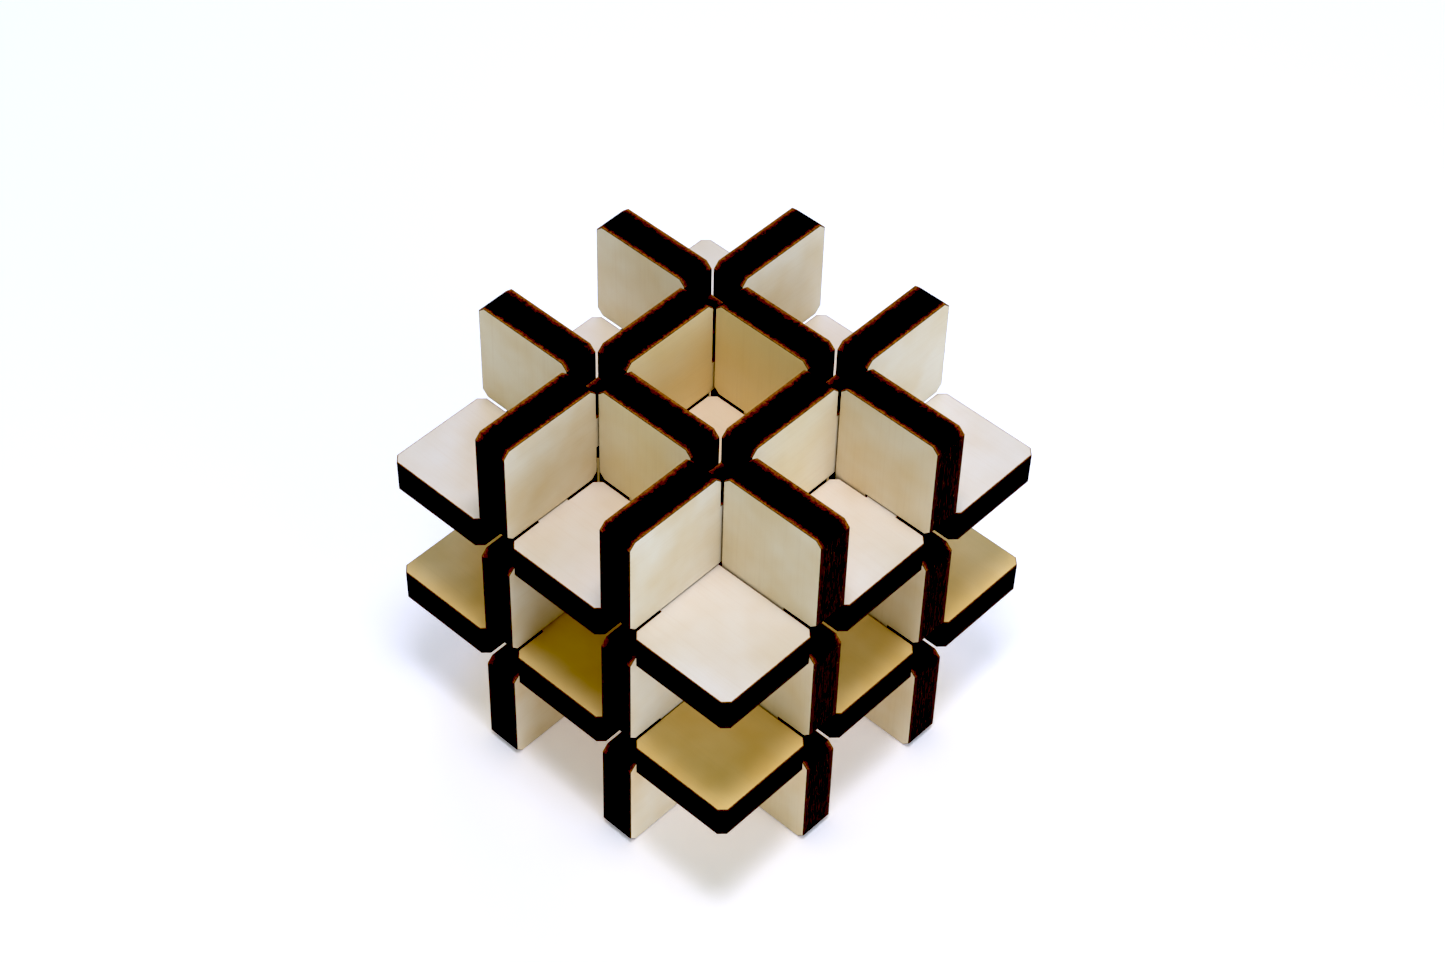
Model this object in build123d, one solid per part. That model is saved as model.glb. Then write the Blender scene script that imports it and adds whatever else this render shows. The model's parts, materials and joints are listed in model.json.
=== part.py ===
"""Wooden burr puzzle: eighteen notched plywood boards, packed as six crossing grids.

Frame: millimetres, +Z up, origin at the centre of the puzzle's footprint, on the table.
The front of the puzzle faces -Y and its right side faces +X.

Two grids stand across the depth (front, back), two stand across the width (left, right)
and two lie flat (upper, lower). Each grid is three straight boards side by side. Every
board carries three square panels joined by two necks, and each neck passes through the
slot between two boards of a grid that stands square to it. Some boards also carry a tab
that fills part of such a slot and so keeps a crossing board in place.
"""

import os

from build123d import *

# ---- driving dimensions (mm) ---------------------------------------------------------
HALF_SIZE = 34.65      # half the overall size of the puzzle
PLANE_POS = 12.6       # distance of each grid's mid plane from the centre of the puzzle
BOARD_T = 6.0          # board thickness
FIT = 0.15             # clearance between a board's face and the slot it passes through
RIM_SLOT = 6.3         # depth of the open slots along the rim
NECK_W = 6.3           # width of a narrow neck
PANEL_CUT = 1.1        # 45 degree cut across every panel corner, measured along the edge
TAB_R = 0.45           # corner radius of a locking tab
TAB_FIT = 0.15         # clearance between a tab and the neck, panel or board beside it

# ---- sizes that follow from them ------------------------------------------------------
SLOT_W = BOARD_T + 2 * FIT             # slot between two panels
SLOT_LOW = PLANE_POS - SLOT_W / 2      # edge of a slot nearest the centre
SLOT_HIGH = PLANE_POS + SLOT_W / 2     # edge of a slot nearest the rim
NECK_OUT = HALF_SIZE - RIM_SLOT        # a neck near the rim ends here
NECK_IN = NECK_OUT - NECK_W            # and a narrow one starts here

# Where a neck can sit across an outer board, and where a tab can sit along any board.
NECKS = {"narrow": (NECK_IN, NECK_OUT), "wide": (SLOT_HIGH, NECK_OUT), "inner": (SLOT_HIGH, NECK_IN)}
TAB_CELLS = {"rim": (NECK_IN, NECK_OUT), "core": (NECK_W / 2, SLOT_LOW)}


# ---- board profiles, drawn with the board's length along X ------------------------------
def panel(p0, p1, q0, q1):
    """One panel with cut corners, spanning p0..p1 along the board and q0..q1 across it."""
    square = Rectangle(p1 - p0, q1 - q0)
    return Pos((p0 + p1) / 2, (q0 + q1) / 2) * chamfer(square.vertices(), PANEL_CUT)


def neck(side, q0, q1):
    """The wood that bridges one slot (side -1 or 1) of a board, from q0 to q1 across it."""
    return Pos(side * PLANE_POS, (q0 + q1) / 2) * Rectangle(SLOT_W + 2 * PANEL_CUT, q1 - q0)


def tab(cell, side, edge, way):
    """A locking tab that reaches from a board's edge across one slot.

    cell and side say where it sits along the board, way (-1 or 1) where it points.
    """
    low, high = TAB_CELLS[cell]
    length = SLOT_W - TAB_FIT
    width = high - low - 2 * TAB_FIT
    root_length = length / 2 + PANEL_CUT
    root = Pos(0, (root_length / 2 - PANEL_CUT) * way) * Rectangle(width, root_length)
    tip = Pos(0, length / 2 * way) * RectangleRounded(width, length, TAB_R)
    return Pos(side * (low + high) / 2, edge) * (root + tip)


def middle_board(tabs=()):
    """The profile of a grid's middle board, whose necks sit on its centre line."""
    profile = neck(-1, -NECK_W / 2, NECK_W / 2) + neck(1, -NECK_W / 2, NECK_W / 2)
    for p0, p1 in ((-HALF_SIZE, -SLOT_HIGH), (-SLOT_LOW, SLOT_LOW), (SLOT_HIGH, HALF_SIZE)):
        profile += panel(p0, p1, -SLOT_LOW, SLOT_LOW)
    for cell, side, way in tabs:
        profile += tab(cell, side, way * SLOT_LOW, way)
    return profile


def outer_board(row, necks, tabs=()):
    """The profile of the board on one side (row -1 or 1) of a grid.

    necks names its two necks, low end first; tabs lists (cell, side) for the tabs on its
    inner edge.
    """
    profile = Sketch()
    for p0, p1 in ((-HALF_SIZE, -SLOT_HIGH), (-SLOT_LOW, SLOT_LOW), (SLOT_HIGH, HALF_SIZE)):
        profile += panel(p0, p1, SLOT_HIGH, HALF_SIZE)
    for side, kind in zip((-1, 1), necks):
        profile += neck(side, *NECKS[kind])
    for cell, side in tabs:
        profile += tab(cell, side, SLOT_HIGH, -1)
    return profile if row > 0 else profile.mirror(Plane.XZ)


# ---- grid planes ------------------------------------------------------------------------
def upright_plane(y):
    """Front or back grid: the boards stand up and their rows are counted to the right."""
    return Plane(origin=(0, y, HALF_SIZE), x_dir=(0, 0, 1), z_dir=(0, 1, 0))


def rail_plane(x):
    """Left or right grid: the boards run to the back and their rows are counted upwards."""
    return Plane(origin=(x, 0, HALF_SIZE), x_dir=(0, 1, 0), z_dir=(1, 0, 0))


def shelf_plane(z):
    """Upper or lower grid: the boards run to the right, rows are counted to the back."""
    return Plane(origin=(0, 0, HALF_SIZE + z), x_dir=(1, 0, 0), z_dir=(0, 0, 1))


FRONT, BACK = upright_plane(-PLANE_POS), upright_plane(PLANE_POS)
LEFT, RIGHT = rail_plane(-PLANE_POS), rail_plane(PLANE_POS)
LOWER, UPPER = shelf_plane(-PLANE_POS), shelf_plane(PLANE_POS)

# ---- the eighteen boards ------------------------------------------------------------------
BOARDS = {
    # uprights: necks at the lower and the upper grid, low end first
    "front_left_upright": (FRONT, outer_board(-1, ("narrow", "narrow"), [("rim", -1)])),
    "front_middle_upright": (FRONT, middle_board()),
    "front_right_upright": (FRONT, outer_board(1, ("narrow", "wide"), [("rim", -1)])),
    "back_left_upright": (BACK, outer_board(-1, ("narrow", "wide"), [("rim", 1)])),
    "back_middle_upright": (BACK, middle_board()),
    "back_right_upright": (BACK, outer_board(1, ("wide", "inner"), [("core", -1)])),
    # rails: necks at the front and the back grid
    "left_bottom_rail": (LEFT, outer_board(-1, ("inner", "narrow"))),
    "left_middle_rail": (LEFT, middle_board()),
    "left_top_rail": (LEFT, outer_board(1, ("narrow", "inner"), [("core", -1)])),
    "right_bottom_rail": (RIGHT, outer_board(-1, ("inner", "narrow"))),
    "right_middle_rail": (RIGHT, middle_board([("rim", -1, -1)])),
    "right_top_rail": (RIGHT, outer_board(1, ("wide", "wide"))),
    # shelves: necks at the left and the right grid
    "lower_front_shelf": (LOWER, outer_board(-1, ("narrow", "inner"), [("core", 1)])),
    "lower_middle_shelf": (LOWER, middle_board()),
    "lower_back_shelf": (LOWER, outer_board(1, ("narrow", "narrow"))),
    "upper_front_shelf": (UPPER, outer_board(-1, ("narrow", "wide"))),
    "upper_middle_shelf": (UPPER, middle_board([("rim", 1, 1)])),
    "upper_back_shelf": (UPPER, outer_board(1, ("wide", "narrow"))),
}

os.makedirs("parts", exist_ok=True)
for name, (plane, profile) in BOARDS.items():
    solid = extrude(plane * profile, BOARD_T / 2, both=True)
    export_step(solid, f"parts/{name}.step")
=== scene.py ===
"""Wooden burr puzzle: eighteen laser-cut birch plywood boards and the pale table they stand on.

The CAD model gives every board's outline and place. Each board is built again here with the
finish of a cut board: rounded arrises, fine grooves along the charred edge for the glue
lines, and bare birch faces with a thin scorched rim.
"""

from __future__ import annotations

import json
import logging
import math
from dataclasses import dataclass
from enum import Enum

import bmesh
import bpy
from mathutils import Matrix, Vector


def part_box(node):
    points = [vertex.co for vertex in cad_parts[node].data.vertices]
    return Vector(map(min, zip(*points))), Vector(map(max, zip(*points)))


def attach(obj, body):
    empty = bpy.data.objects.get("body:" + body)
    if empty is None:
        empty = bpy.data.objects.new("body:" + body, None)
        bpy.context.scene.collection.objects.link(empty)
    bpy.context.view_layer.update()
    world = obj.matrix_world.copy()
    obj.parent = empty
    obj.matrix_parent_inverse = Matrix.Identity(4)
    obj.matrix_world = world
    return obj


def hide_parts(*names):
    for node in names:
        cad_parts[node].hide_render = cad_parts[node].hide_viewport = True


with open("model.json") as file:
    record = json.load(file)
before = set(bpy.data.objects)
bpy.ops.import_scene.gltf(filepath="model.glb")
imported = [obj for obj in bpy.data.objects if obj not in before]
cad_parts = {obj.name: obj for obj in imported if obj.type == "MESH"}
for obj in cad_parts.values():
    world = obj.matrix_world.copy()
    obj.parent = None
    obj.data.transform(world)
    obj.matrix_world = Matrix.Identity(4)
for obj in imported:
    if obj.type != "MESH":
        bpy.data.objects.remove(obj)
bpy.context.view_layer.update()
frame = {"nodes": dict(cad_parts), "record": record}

MM = 0.001
SAME_PLACE = 1e-6
KEY_DIGITS = 7

log = logging.getLogger("burr_puzzle")


# ---- small helpers ------------------------------------------------------------------------
def linear(colour: str) -> tuple[float, float, float, float]:
    """Turns an sRGB hex colour into linear light.

    Args:
        colour: six hex digits with a leading hash.

    Returns:
        Red, green, blue and an alpha of one.
    """
    parts = [int(colour[i:i + 2], 16) / 255 for i in (1, 3, 5)]
    light = [c / 12.92 if c <= 0.04045 else ((c + 0.055) / 1.055) ** 2.4 for c in parts]
    return (*light, 1.0)


def add(tree: bpy.types.NodeTree, kind: str, inputs: dict | None = None, **settings) -> bpy.types.Node:
    """Adds one node with its settings, values and links.

    Args:
        tree: the node tree to add it to.
        kind: the node's type name.
        inputs: socket name or number to a value, or to the output socket that feeds it.
        settings: the node's own properties.

    Returns:
        The new node.
    """
    node = tree.nodes.new(kind)
    for name, value in settings.items():
        setattr(node, name, value)
    for key, value in (inputs or {}).items():
        socket = node.inputs[key]
        if isinstance(value, bpy.types.NodeSocket):
            tree.links.new(value, socket)
        else:
            socket.default_value = value
    return node


def noise(tree: bpy.types.NodeTree, place: bpy.types.NodeSocket, scale: float, detail: float = 2.0,
          roughness: float = 0.5) -> bpy.types.NodeSocket:
    """Adds noise.

    Args:
        tree: the node tree.
        place: where it is read.
        scale: how many lumps fit in one unit of the place.
        detail: how many finer layers it has.
        roughness: how strong the finer layers are.

    Returns:
        The noise, between 0 and 1.
    """
    inputs = {"Vector": place, "Scale": scale, "Detail": detail, "Roughness": roughness}
    return add(tree, "ShaderNodeTexNoise", inputs).outputs[0]


def band(tree: bpy.types.NodeTree, value: bpy.types.NodeSocket, between: tuple[float, float],
         low: float = 0.0, high: float = 1.0, **settings) -> bpy.types.NodeSocket:
    """Stretches one band of a value over a new range and holds it at the ends.

    Args:
        tree: the node tree.
        value: the value to read.
        between: the band's start and end.
        low: what the start becomes.
        high: what the end becomes.
        settings: the node's own properties.

    Returns:
        The new value.
    """
    inputs = {"Value": value, "From Min": between[0], "From Max": between[1], "To Min": low, "To Max": high}
    return add(tree, "ShaderNodeMapRange", inputs, **settings).outputs[0]


def mix(tree: bpy.types.NodeTree, share: bpy.types.NodeSocket, *colours) -> bpy.types.NodeSocket:
    """Mixes two colours.

    Args:
        tree: the node tree.
        share: how much of the second one shows.
        colours: the two, each a hex colour or a socket.

    Returns:
        The mixed colour.
    """
    first, second = (linear(c) if isinstance(c, str) else c for c in colours)
    return add(tree, "ShaderNodeMix", {0: share, 6: first, 7: second}, data_type="RGBA").outputs[2]


def math_node(tree: bpy.types.NodeTree, operation: str, *values) -> bpy.types.NodeSocket:
    """Adds one sum.

    Args:
        tree: the node tree.
        operation: what it works out.
        values: the numbers or sockets it works on.

    Returns:
        The result.
    """
    return add(tree, "ShaderNodeMath", dict(enumerate(values)), operation=operation).outputs[0]


def relief(tree: bpy.types.NodeTree, height: bpy.types.NodeSocket, strength: float,
           depth_mm: float) -> bpy.types.NodeSocket:
    """Adds a fine relief to a surface.

    Args:
        tree: the node tree.
        height: the relief's height, between 0 and 1.
        strength: how much of it shows.
        depth_mm: its depth in millimetres.

    Returns:
        The normal to shade with.
    """
    inputs = {"Height": height, "Strength": strength, "Distance": depth_mm * MM}
    return add(tree, "ShaderNodeBump", inputs).outputs[0]


def bare_material(name: str) -> tuple[bpy.types.Material, bpy.types.NodeTree, bpy.types.Node]:
    """Starts a material.

    Args:
        name: the material's name.

    Returns:
        The material, its node tree and its shader.
    """
    mat = bpy.data.materials.new(name)
    mat.use_nodes = True
    return mat, mat.node_tree, mat.node_tree.nodes["Principled BSDF"]


class Lie(Enum):
    """Which way a board lies: the axes of its length, its width and its thickness."""

    RAIL = (1, 2, 0)
    UPRIGHT = (2, 0, 1)
    SHELF = (0, 1, 2)

    @property
    def length_axis(self) -> int:
        """The axis that the board's length and its grain follow."""
        return self.value[0]

    @property
    def thickness_axis(self) -> int:
        """The axis that the board's thickness follows."""
        return self.value[2]

    @property
    def exit_side(self) -> int:
        """The face taken as the one where the laser beam left: -1 is the lower, 1 the upper."""
        return -1 if self is Lie.UPRIGHT else 1

    def turn(self, middle: float) -> Matrix:
        """The placement of a board drawn flat, with its length along X.

        Args:
            middle: where the board's mid plane cuts its thickness axis, in metres.

        Returns:
            The matrix from the flat drawing to the puzzle.
        """
        matrix = Matrix.Identity(4)
        for column, axis in enumerate(self.value):
            for row in range(3):
                matrix[row][column] = 1.0 if row == axis else 0.0
        matrix[self.thickness_axis][3] = middle
        return matrix


# ---- finishes -----------------------------------------------------------------------------
class Sheet(Enum):
    """The plywood sheets that the boards are cut from: face colour and its deeper clouds. The golden one is
    painted shade, warmed by light bounced under the upper shelves.
    """

    PALE = ("#E3D9C7", "#DDCDB2")
    CREAM = ("#F0E3CA", "#E8D2AA")
    # Painted warm shade for the lower shelves, under the upper ones.
    GOLDEN = ("#EFCF8E", "#E5BF76")


@dataclass(frozen=True)
class BirchVeneer:
    """Bare, sanded birch face veneer: pale cream to golden, close-grained, almost without figure; part of
    the golden is painted bounce light and painted shade.
    """

    pore: str = "#C9A874"
    grain_width_mm: float = 0.35
    grain_length_mm: float = 14.0
    grain_band: tuple[float, float] = (0.5, 0.85)
    grain_share: float = 0.1
    cloud_mm: float = 9.0
    cloud_band: tuple[float, float] = (0.35, 0.75)
    # Painted bounce light: a warm tone round the puzzle's upright middle axis.
    painted_bounce_tone: str = "#FBE1A1"
    painted_bounce_share: float = 0.6
    painted_bounce_share_flat: float = 0.15
    painted_bounce_mm: tuple[float, float] = (12.0, 20.0)
    scorch: str = "#8A5226"
    flame_mm: float = 0.5
    scorch_band: tuple[float, float] = (0.34, 0.66)
    scorch_share: float = 0.6
    fibre_mm: float = 0.12
    fibre_depth_mm: float = 0.02
    fibre_strength: float = 0.12
    roughness: float = 0.62
    ior: float = 1.45

    def material(self, lie: Lie, sheet: Sheet) -> bpy.types.Material:
        """Makes the veneer of one sheet of plywood, as its boards lie in the puzzle.

        Args:
            lie: gives the direction of the grain.
            sheet: the sheet of plywood; the golden one is painted shade for the lower shelves.

        Returns:
            The finished material.
        """
        mat, tree, shader = bare_material(f"birch veneer, {sheet.name.lower()} {lie.name.lower()}")
        place = add(tree, "ShaderNodeTexCoord").outputs["Object"]
        # Clouds: the sheet's own colour, a little deeper from place to place; on the lower shelves that
        # colour is painted shade.
        clouds = noise(tree, place, 1 / (self.cloud_mm * MM))
        cloudy = mix(tree, band(tree, clouds, self.cloud_band), *sheet.value)
        # Painted bounce light: a warm tone towards the upright middle axis stands in for light thrown
        # between the golden walls.
        tone = mix(tree, self.painted_bounce_light(tree, place, lie), cloudy, self.painted_bounce_tone)
        # Grain: noise drawn out along the board, so it shows as faint long streaks.
        stretch = [1 / (self.grain_width_mm * MM)] * 3
        stretch[lie.length_axis] = 1 / (self.grain_length_mm * MM)
        along = add(tree, "ShaderNodeMapping", {"Vector": place, "Scale": stretch}).outputs[0]
        streak = band(tree, noise(tree, along, 1.0, 4.0), self.grain_band, high=self.grain_share)
        grained = mix(tree, streak, tone, self.pore)
        # Scorched rim: the face browns unevenly where the cut section says so.
        rim = add(tree, "ShaderNodeAttribute", attribute_name="scorch").outputs["Fac"]
        flame = noise(tree, place, 1 / (self.flame_mm * MM), 3.0)
        burnt = band(tree, math_node(tree, "MULTIPLY", rim, flame), self.scorch_band, high=self.scorch_share)
        fibre = noise(tree, along, self.grain_width_mm / self.fibre_mm)
        normal = relief(tree, fibre, self.fibre_strength, self.fibre_depth_mm)
        tree.links.new(mix(tree, burnt, grained, self.scorch), shader.inputs["Base Color"])
        tree.links.new(normal, shader.inputs["Normal"])
        shader.inputs["Roughness"].default_value = self.roughness
        shader.inputs["IOR"].default_value = self.ior
        return mat

    def painted_bounce_light(self, tree: bpy.types.NodeTree, place: bpy.types.NodeSocket,
                     lie: Lie) -> bpy.types.NodeSocket:
        """How much painted bounce light, a warm tone, shows round the puzzle's upright middle axis.

        The tone stands in for the light that golden walls throw back and forth down there.

        Args:
            tree: the material's node tree.
            place: the place on the board.
            lie: the way the board lies; flat boards take less of it.

        Returns:
            A socket with the share.
        """
        level = add(tree, "ShaderNodeVectorMath", {0: place, 1: (1.0, 1.0, 0.0)}, operation="MULTIPLY")
        reach = add(tree, "ShaderNodeVectorMath", {0: level.outputs[0]}, operation="LENGTH")
        near, far = self.painted_bounce_mm
        share = self.painted_bounce_share_flat if lie is Lie.SHELF else self.painted_bounce_share
        return band(tree, reach.outputs["Value"], (far * MM, near * MM), high=share,
                    interpolation_type="SMOOTHSTEP")


@dataclass(frozen=True)
class CharredEdge:
    """Plywood edge as the laser leaves it: soot-black plies that brown towards the faces."""

    char: str = "#050403"
    ember: str = "#4A241B"
    toast: str = "#8A4922"
    amber: str = "#AE7534"
    streak: str = "#603E2A"
    ash: str = "#A8977B"
    rim_mm: float = 1.35
    rim_reach: tuple[float, float] = (0.4, 1.6)
    lick_mm: float = 1.1
    lick_band: tuple[float, float] = (0.32, 0.72)
    # The next two fields paint light and shade by the way a cut faces: cuts facing sideways keep little of
    # the brown rim.
    side_shade_share: float = 0.22
    top_light_band: tuple[float, float] = (0.45, 0.65)
    soot_mm: float = 0.28
    soot_band: tuple[float, float] = (0.38, 0.6)
    soot_least: float = 0.4
    streak_width_mm: float = 0.11
    streak_length_mm: float = 2.2
    streak_band: tuple[float, float] = (0.43, 0.64)
    # The next three fields set a painted sheen: how strongly the brown streaks show on cuts facing along X.
    sheen_least: float = 0.06
    sheen_most_upright: float = 0.8
    sheen_most: float = 0.15
    ash_fineness: float = 2.3
    ash_band: tuple[float, float] = (0.64, 0.74)
    relief_mm: float = 0.08
    relief_strength: float = 0.5
    roughness: float = 0.8
    gloss: float = 0.12

    def material(self, lie: Lie) -> bpy.types.Material:
        """Makes the charred edge for boards that lie one way.

        Args:
            lie: gives the direction of the plies.

        Returns:
            The finished material.
        """
        mat, tree, shader = bare_material(f"charred plywood edge, {lie.name.lower()}")
        coords = add(tree, "ShaderNodeTexCoord")
        place, normal = coords.outputs["Object"], coords.outputs["Normal"]
        stretch = [1 / (self.streak_length_mm * MM)] * 3
        stretch[lie.thickness_axis] = 1 / (self.streak_width_mm * MM)
        plies = add(tree, "ShaderNodeMapping", {"Vector": place, "Scale": stretch}).outputs[0]
        streaks = noise(tree, plies, 1.0, 5.0, 0.65)
        # Painted sheen: the brown streaks and ash specks show mainly on cuts facing along X, where the side
        # light catches the char.
        sheen_facing = self.sheen_streak_share(tree, normal, lie)
        show = math_node(tree, "MULTIPLY", band(tree, streaks, self.streak_band), sheen_facing)
        brown = mix(tree, show, self.browned_rim(tree, place, normal), self.streak)
        # Specks of pale ash lie on the thin char, finer than the streaks; like them they show only where the
        # painted sheen is, on cuts facing along X.
        flecks = band(tree, noise(tree, plies, self.ash_fineness), self.ash_band)
        colour = mix(tree, math_node(tree, "MULTIPLY", flecks, sheen_facing), brown, self.ash)
        tree.links.new(colour, shader.inputs["Base Color"])
        rough = relief(tree, streaks, self.relief_strength, self.relief_mm)
        tree.links.new(rough, shader.inputs["Normal"])
        shader.inputs["Roughness"].default_value = self.roughness
        shader.inputs["Specular IOR Level"].default_value = self.gloss
        return mat

    def browned_rim(self, tree: bpy.types.NodeTree, place: bpy.types.NodeSocket,
                    normal: bpy.types.NodeSocket) -> bpy.types.NodeSocket:
        """The char, browned in an uneven line beside each face, with painted light and shade: full on cuts
        that face up or down, little on cuts that face sideways.

        Args:
            tree: the material's node tree.
            place: the place on the board.
            normal: the surface normal in the board's own axes.

        Returns:
            A socket with the colour.
        """
        depth = add(tree, "ShaderNodeAttribute", attribute_name="depth_mm").outputs["Fac"]
        lick = noise(tree, place, 1 / (self.lick_mm * MM), 6.0, 0.75)
        least, most = (share * self.rim_mm for share in self.rim_reach)
        reach = band(tree, lick, self.lick_band, least, most)
        browning = add(tree, "ShaderNodeValToRGB", {"Fac": math_node(tree, "DIVIDE", depth, reach)})
        ramp = browning.color_ramp
        ramp.elements[0].color, ramp.elements[1].color = linear(self.amber), linear(self.char)
        for spot, shade in ((0.12, self.amber), (0.42, self.toast), (0.72, self.ember)):
            ramp.elements.new(spot).color = linear(shade)
        # Painted light and shade: cuts that face up or down brown fully, as in the overhead light; on the
        # upright ones, painted darker, the soot reaches the face.
        axes = add(tree, "ShaderNodeSeparateXYZ", {0: normal})
        rise = math_node(tree, "ABSOLUTE", axes.outputs[2])
        share = band(tree, rise, self.top_light_band, low=self.side_shade_share)
        soot = noise(tree, place, 1 / (self.soot_mm * MM), 3.0)
        soot_and_top_light = math_node(tree, "MULTIPLY", share, band(tree, soot, self.soot_band, low=self.soot_least))
        return mix(tree, soot_and_top_light, self.char, browning.outputs[0])

    def sheen_streak_share(self, tree: bpy.types.NodeTree, normal: bpy.types.NodeSocket,
                     lie: Lie) -> bpy.types.NodeSocket:
        """How strongly the brown streaks show, by the way the cut faces: a painted sheen of the side light,
        on cuts that face along X and most on the uprights.

        Args:
            tree: the material's node tree.
            normal: the surface normal in the board's own axes.
            lie: the way the board lies.

        Returns:
            A socket between 0, all char, and 1.
        """
        axes = add(tree, "ShaderNodeSeparateXYZ", {0: normal})
        side = math_node(tree, "ABSOLUTE", axes.outputs[0])
        most = self.sheen_most_upright if lie is Lie.UPRIGHT else self.sheen_most
        return band(tree, side, (0.5, 1.0), self.sheen_least, most)


@dataclass(frozen=True)
class PaleCard:
    """Matt white card under the puzzle, with a faint glow of its own."""

    colour: str = "#F7F6F4"
    glow: tuple[float, float, float] = (0.22, 0.21, 0.24)
    tooth_mm: float = 1.5
    tooth_depth_mm: float = 0.02
    tooth_strength: float = 0.05
    roughness: float = 0.9

    def material(self) -> bpy.types.Material:
        """Makes the card's material."""
        mat, tree, shader = bare_material("matt white card")
        place = add(tree, "ShaderNodeTexCoord").outputs["Object"]
        tooth = noise(tree, place, 1 / (self.tooth_mm * MM))
        normal = relief(tree, tooth, self.tooth_strength, self.tooth_depth_mm)
        tree.links.new(normal, shader.inputs["Normal"])
        shader.inputs["Base Color"].default_value = linear(self.colour)
        shader.inputs["Roughness"].default_value = self.roughness
        shader.inputs["Emission Color"].default_value = (*self.glow, 1.0)
        shader.inputs["Emission Strength"].default_value = 1.0
        return mat


# ---- the cut edge and the board tree ---------------------------------------------------------
@dataclass(frozen=True)
class CutSection:
    """The shape of a cut edge from face to face, swept round every board's outline."""

    plies: int = 5
    arris_mm: float = 0.14
    arris_turn: float = 0.3
    groove_mm: float = 0.05
    groove_half_mm: float = 0.09
    taper_mm: float = 0.05
    rim_mm: float = 0.36
    entry_browning: float = 1.6

    def points(self, thickness: float, exit_side: int) -> list[tuple[float, float, float, float]]:
        """Works out the section's points.

        Args:
            thickness: the board's thickness in metres.
            exit_side: the face where the beam left, where the brown rim is widest.

        Returns:
            From the lower face to the upper: inset and height in metres, scorch share, and
            depth below the nearer face in millimetres, counted faster where the beam entered.
        """
        half = thickness / 2
        arris = self.arris_mm * MM
        ply = thickness / self.plies
        turn = self.arris_turn * arris
        upper = [(self.rim_mm * MM, half, 0.0), (arris, half, 1.0), (turn, half - turn, 1.0),
                 (0.0, half - arris, 1.0)]
        cut: list[tuple[float, float, float]] = []
        for k in range(1, self.plies):
            line = -half + k * ply
            for step, inset in ((-1, 0.0), (0, self.groove_mm * MM), (1, 0.0)):
                cut.append((inset, line + step * self.groove_half_mm * MM, 1.0))
        lower = [(inset, -height, scorch) for inset, height, scorch in upper]
        section = []
        for inset, height, scorch in lower + cut + upper[::-1]:
            taper = self.taper_mm * MM * (0.5 + height / thickness)
            count = 1.0 if height * exit_side > 0 else self.entry_browning
            section.append((inset + taper, height, scorch, count * (half - abs(height)) / MM))
        return section

    def drawing(self, thickness: float, exit_side: int) -> bpy.types.Object:
        """Draws the section as a line of edges for the board tree to sweep.

        Args:
            thickness: the board's thickness in metres.
            exit_side: the face where the beam left.

        Returns:
            A mesh object with X outwards and Y up the board's thickness.
        """
        points = self.points(thickness, exit_side)
        mesh = bpy.data.meshes.new("cut_section")
        mesh.from_pydata([(-inset, height, 0.0) for inset, height, _, _ in points],
                         [(i, i + 1) for i in range(len(points) - 1)], [])
        for column, name in ((2, "scorch"), (3, "depth_mm")):
            store = mesh.attributes.new(name, "FLOAT", "POINT")
            store.data.foreach_set("value", [p[column] for p in points])
        section = bpy.data.objects.new("cut_section", mesh)
        bpy.context.scene.collection.objects.link(section)
        return section


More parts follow.
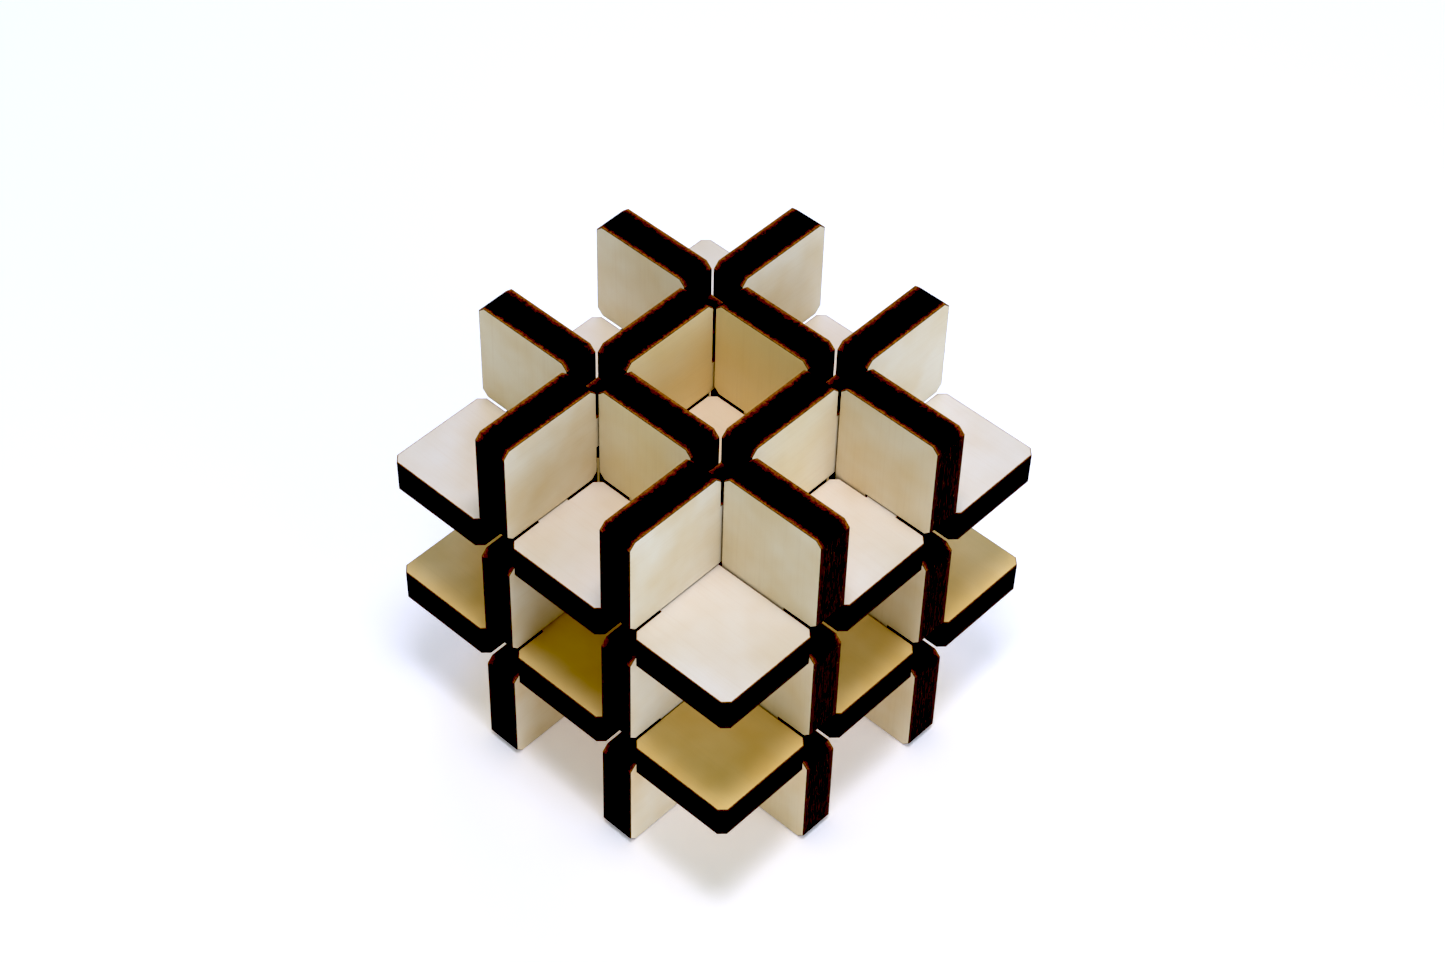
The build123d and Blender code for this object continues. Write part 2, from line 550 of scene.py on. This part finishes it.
class BoardTree:
    """The Geometry Nodes tree that turns a flat outline into a cut board."""

    weld_mm = 0.002
    flat_from = 0.98

    def __init__(self) -> None:
        """Builds the tree with its named inputs."""
        tree = bpy.data.node_groups.new("cut board", "GeometryNodeTree")
        face = tree.interface
        face.new_socket("Geometry", in_out="OUTPUT", socket_type="NodeSocketGeometry")
        face.new_socket("Outline", in_out="INPUT", socket_type="NodeSocketGeometry")
        for name, kind in (("Section", "NodeSocketObject"), ("Thickness", "NodeSocketFloat"),
                           ("Veneer", "NodeSocketMaterial"), ("Edge", "NodeSocketMaterial")):
            face.new_socket(name, in_out="INPUT", socket_type=kind)
        given = add(tree, "NodeGroupInput").outputs
        rail = add(tree, "GeometryNodeMeshToCurve", {0: given["Outline"]})
        level = add(tree, "GeometryNodeSetCurveNormal", {0: rail.outputs[0]}, mode="Z_UP")
        drawn = add(tree, "GeometryNodeObjectInfo", {"Object": given["Section"]})
        section = add(tree, "GeometryNodeMeshToCurve", {0: drawn.outputs["Geometry"]})
        sweep = {"Curve": level.outputs[0], "Profile Curve": section.outputs[0]}
        edge = add(tree, "GeometryNodeCurveToMesh", sweep).outputs[0]
        parts = [edge] + [self.cap(tree, edge, given["Thickness"], way) for way in (-1, 1)]
        joined = add(tree, "GeometryNodeJoinGeometry")
        for part in reversed(parts):
            tree.links.new(part, joined.inputs[0])
        gap = self.weld_mm * MM
        welded = add(tree, "GeometryNodeMergeByDistance", {0: joined.outputs[0], "Distance": gap})
        solid = add(tree, "GeometryNodeRealizeInstances", {0: welded.outputs[0]})
        charred = add(tree, "GeometryNodeSetMaterial",
                      {"Geometry": solid.outputs[0], "Material": given["Edge"]})
        normal = add(tree, "ShaderNodeSeparateXYZ", {0: add(tree, "GeometryNodeInputNormal").outputs[0]})
        flat = math_node(tree, "ABSOLUTE", normal.outputs[2])
        is_face = math_node(tree, "GREATER_THAN", flat, self.flat_from)
        dressed = add(tree, "GeometryNodeSetMaterial",
                      {"Geometry": charred.outputs[0], "Selection": is_face, "Material": given["Veneer"]})
        add(tree, "NodeGroupOutput", {0: dressed.outputs[0]})
        self.tree = tree

    @staticmethod
    def cap(tree: bpy.types.NodeTree, edge: bpy.types.NodeSocket, thickness: bpy.types.NodeSocket,
            way: int) -> bpy.types.NodeSocket:
        """Closes one face of the board inside the rim of the swept edge.

        Args:
            tree: the tree being built.
            edge: the swept edge.
            thickness: the board's thickness.
            way: -1 for the lower face, 1 for the upper one.

        Returns:
            The face's geometry.
        """
        height = add(tree, "ShaderNodeSeparateXYZ", {0: add(tree, "GeometryNodeInputPosition").outputs[0]})
        side = math_node(tree, "MULTIPLY", height.outputs[2], float(way))
        above = math_node(tree, "GREATER_THAN", side, 0.0)
        sharing = add(tree, "GeometryNodeInputMeshEdgeNeighbors").outputs[0]
        ends = add(tree, "FunctionNodeCompare", {2: sharing, 3: 1}, data_type="INT", operation="EQUAL")
        rim = add(tree, "FunctionNodeBooleanMath", {0: above, 1: ends.outputs[0]}, operation="AND")
        loop = add(tree, "GeometryNodeMeshToCurve", {"Mesh": edge, "Selection": rim.outputs[0]})
        fill = add(tree, "GeometryNodeFillCurve", {0: loop.outputs[0]}, mode="NGONS")
        half = math_node(tree, "MULTIPLY", thickness, way / 2)
        lift = add(tree, "ShaderNodeCombineXYZ", {2: half})
        lifted = add(tree, "GeometryNodeSetPosition", {0: fill.outputs[0], "Offset": lift.outputs[0]})
        return lifted.outputs[0]

    def socket_id(self, name: str) -> str:
        """Looks up a named input.

        Args:
            name: the input's name.

        Returns:
            Its identifier.
        """
        inputs = (s for s in self.tree.interface.items_tree if s.in_out == "INPUT")
        return next(s.identifier for s in inputs if s.name == name)


# ---- boards and grids -----------------------------------------------------------------------
@dataclass
class Board:
    """One plywood board of the puzzle."""

    node: str
    body: str
    lie: Lie
    sharp_from_deg: float = 28.0

    def outline(self) -> list[tuple[float, float]]:
        """Reads the board's outline from its CAD solid.

        Returns:
            The corners of the upper face's rim, anticlockwise, drawn flat.
        """
        mesh = frame["nodes"][self.node].data
        low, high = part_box(self.node)
        along, across, through = self.lie.value
        top = high[through]
        used: set[tuple] = set()
        for face in mesh.polygons:
            corners = [mesh.vertices[i].co for i in face.vertices]
            if any(abs(c[through] - top) > SAME_PLACE for c in corners):
                continue
            keys = [(round(c[along], KEY_DIGITS), round(c[across], KEY_DIGITS)) for c in corners]
            used.update(zip(keys, keys[1:] + keys[:1]))
        # An edge with a face on both sides is used both ways; the rim's edges are used one way.
        follow = {a: b for a, b in used if (b, a) not in used}
        start = min(follow)
        loop = [start]
        while follow[loop[-1]] != start:
            loop.append(follow[loop[-1]])
        area = sum(a[0] * b[1] - b[0] * a[1] for a, b in zip(loop, loop[1:] + loop[:1]))
        return loop if area > 0 else loop[::-1]

    def build(self, tree: BoardTree, section: CutSection, veneer: bpy.types.Material,
              edge: bpy.types.Material) -> bpy.types.Object:
        """Builds the board from its outline and puts it in its place.

        Args:
            tree: the board tree.
            section: the shape of the cut edge.
            veneer: the faces' material.
            edge: the cut edge's material.

        Returns:
            The finished piece.
        """
        low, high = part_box(self.node)
        through = self.lie.thickness_axis
        thickness = high[through] - low[through]
        loop = self.outline()
        flat = bpy.data.meshes.new("outline")
        links = [(i, (i + 1) % len(loop)) for i in range(len(loop))]
        flat.from_pydata([(x, y, 0.0) for x, y in loop], links, [])
        piece = bpy.data.objects.new("outline", flat)
        bpy.context.scene.collection.objects.link(piece)
        drawing = section.drawing(thickness, self.lie.exit_side)
        modifier = piece.modifiers.new("cut board", "NODES")
        modifier.node_group = tree.tree
        given = {"Section": drawing, "Thickness": thickness, "Veneer": veneer, "Edge": edge}
        for name, value in given.items():
            modifier[tree.socket_id(name)] = value
        ready = piece.evaluated_get(bpy.context.evaluated_depsgraph_get())
        mesh = bpy.data.meshes.new_from_object(ready)
        for spare in (piece, drawing):
            bpy.data.objects.remove(spare)
        return self.place(mesh, (low[through] + high[through]) / 2)

    def place(self, mesh: bpy.types.Mesh, middle: float) -> bpy.types.Object:
        """Stands the flat board in its place and shades it.

        Args:
            mesh: the board, drawn flat.
            middle: where its mid plane belongs on its thickness axis.

        Returns:
            The finished piece.
        """
        mesh.transform(self.lie.turn(middle))
        work = bmesh.new()
        work.from_mesh(mesh)
        bmesh.ops.recalc_face_normals(work, faces=work.faces)
        work.to_mesh(mesh)
        work.free()
        mesh.shade_smooth()
        mesh.set_sharp_from_angle(angle=math.radians(self.sharp_from_deg))
        mesh.name = f"{self.node}_board"
        piece = bpy.data.objects.new(mesh.name, mesh)
        bpy.context.scene.collection.objects.link(piece)
        return piece


@dataclass
class Grid:
    """Three boards side by side in one plane of the puzzle."""

    side: str
    lie: Lie
    sheet: Sheet

    def boards(self) -> list[Board]:
        """The grid's boards, sorted by name."""
        ends = {Lie.RAIL: "_rail", Lie.UPRIGHT: "_upright", Lie.SHELF: "_shelf"}[self.lie]
        found = []
        for body, members in frame["record"]["behaviour"]["bodies"].items():
            ours = [n for n in members if n.startswith(self.side) and n.endswith(ends)]
            found += [Board(node, body, self.lie) for node in ours]
        return sorted(found, key=lambda board: board.node)

    def make(self, tree: BoardTree, section: CutSection, veneer: bpy.types.Material,
             edge: bpy.types.Material) -> None:
        """Builds the grid's boards and hands each to its CAD node and body.

        Args:
            tree: the board tree.
            section: the shape of the cut edge.
            veneer: the faces' material.
            edge: the cut edge's material.
        """
        for board in self.boards():
            piece = board.build(tree, section, veneer, edge)
            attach(piece, board.body)
            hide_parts(board.node)
            log.info("%s: %d faces on %s", piece.name, len(piece.data.polygons), board.body)


# ---- studio ------------------------------------------------------------------------------------
@dataclass(frozen=True)
class SoftBox:
    """One square area light that faces the puzzle."""

    name: str
    place_mm: tuple[float, float, float]
    size_mm: float
    watts: float
    colour: str
    aim_height_mm: float = 35.0

    def hang(self) -> None:
        """Hangs the light in its place."""
        lamp = bpy.data.lights.new(self.name, "AREA")
        lamp.size = self.size_mm * MM
        lamp.energy = self.watts
        lamp.color = linear(self.colour)[:3]
        box = bpy.data.objects.new(self.name, lamp)
        box.location = Vector(self.place_mm) * MM
        aim = Vector((0, 0, self.aim_height_mm * MM)) - box.location
        box.rotation_euler = aim.to_track_quat("-Z", "Y").to_euler()
        bpy.context.scene.collection.objects.link(box)


@dataclass(frozen=True)
class Studio:
    """The table, the lights, the camera and its film."""

    table_m: float = 6.0
    surround: str = "#EFFFE7"
    surround_strength: float = 0.352
    boxes: tuple[SoftBox, ...] = (
        SoftBox("overhead_box", (80, -60, 700), 200, 2.95, "#E9E8FF"),
        SoftBox("right_box", (800, 0, 300), 500, 2.75, "#BDD2FF"),
        SoftBox("back_box", (-450, 500, 800), 500, 3.9, "#98B1FF"),
    )
    film_black: float = 0.05
    camera_mm: tuple[float, float, float] = (216.06, -239.23, 390.07)
    target_mm: tuple[float, float, float] = (-2.335, 4.413, 39.167)
    roll_deg: float = 1.634
    lens_mm: float = 76.795
    film_width_mm: float = 36.0
    nearest_m: float = 0.01

    def lay_table(self) -> None:
        """Lays the pale card that the puzzle stands on."""
        half = self.table_m / 2
        corners = [(-half, -half, 0), (half, -half, 0), (half, half, 0), (-half, half, 0)]
        mesh = bpy.data.meshes.new("table_card")
        mesh.from_pydata(corners, [], [(0, 1, 2, 3)])
        mesh.materials.append(PaleCard().material())
        card = bpy.data.objects.new("table_card", mesh)
        bpy.context.scene.collection.objects.link(card)

    def light(self) -> None:
        """Sets the pale green surround and the bluish soft boxes, near white together."""
        world = bpy.data.worlds.new("pale surround")
        world.use_nodes = True
        back = world.node_tree.nodes["Background"]
        back.inputs["Color"].default_value = linear(self.surround)
        back.inputs["Strength"].default_value = self.surround_strength
        bpy.context.scene.world = world
        for box in self.boxes:
            box.hang()

    def place_camera(self) -> None:
        """Points the camera at the puzzle."""
        lens = bpy.data.cameras.new("camera")
        lens.lens = self.lens_mm
        lens.sensor_width = self.film_width_mm
        lens.clip_start = self.nearest_m
        camera = bpy.data.objects.new("camera", lens)
        place, target = (Vector(v) * MM for v in (self.camera_mm, self.target_mm))
        level = (target - place).to_track_quat("-Z", "Y").to_matrix().to_4x4()
        roll = Matrix.Rotation(math.radians(self.roll_deg), 4, "Z")
        camera.matrix_world = Matrix.Translation(place) @ level @ roll
        bpy.context.scene.collection.objects.link(camera)
        bpy.context.scene.camera = camera

    def develop(self) -> None:
        """Sets the film: no tone curve, and a black level that keeps the char black."""
        view = bpy.context.scene.view_settings
        view.view_transform = "Standard"
        view.use_curve_mapping = True
        view.curve_mapping.black_level = (self.film_black,) * 3
        view.curve_mapping.update()

    def build(self) -> None:
        """Sets up everything round the puzzle."""
        self.lay_table()
        self.light()
        self.place_camera()
        self.develop()
        log.info("studio ready")


def main() -> None:
    """Builds the studio and the puzzle's six grids."""
    logging.basicConfig(level=logging.INFO, format="%(message)s")
    Studio().build()
    tree, section = BoardTree(), CutSection()
    edges = {lie: CharredEdge().material(lie) for lie in Lie}
    grids = [
        Grid("front", Lie.UPRIGHT, Sheet.CREAM),
        Grid("back", Lie.UPRIGHT, Sheet.CREAM),
        Grid("left", Lie.RAIL, Sheet.CREAM),
        Grid("right", Lie.RAIL, Sheet.CREAM),
        # The lower shelves' golden colour is painted shade, warmed by light bounced under the upper shelves.
        Grid("lower", Lie.SHELF, Sheet.GOLDEN),
        Grid("upper", Lie.SHELF, Sheet.PALE),
    ]
    for grid in grids:
        veneer = BirchVeneer().material(grid.lie, grid.sheet)
        grid.make(tree, section, veneer, edges[grid.lie])
    bpy.data.node_groups.remove(tree.tree)


if __name__ == "__main__":
    main()
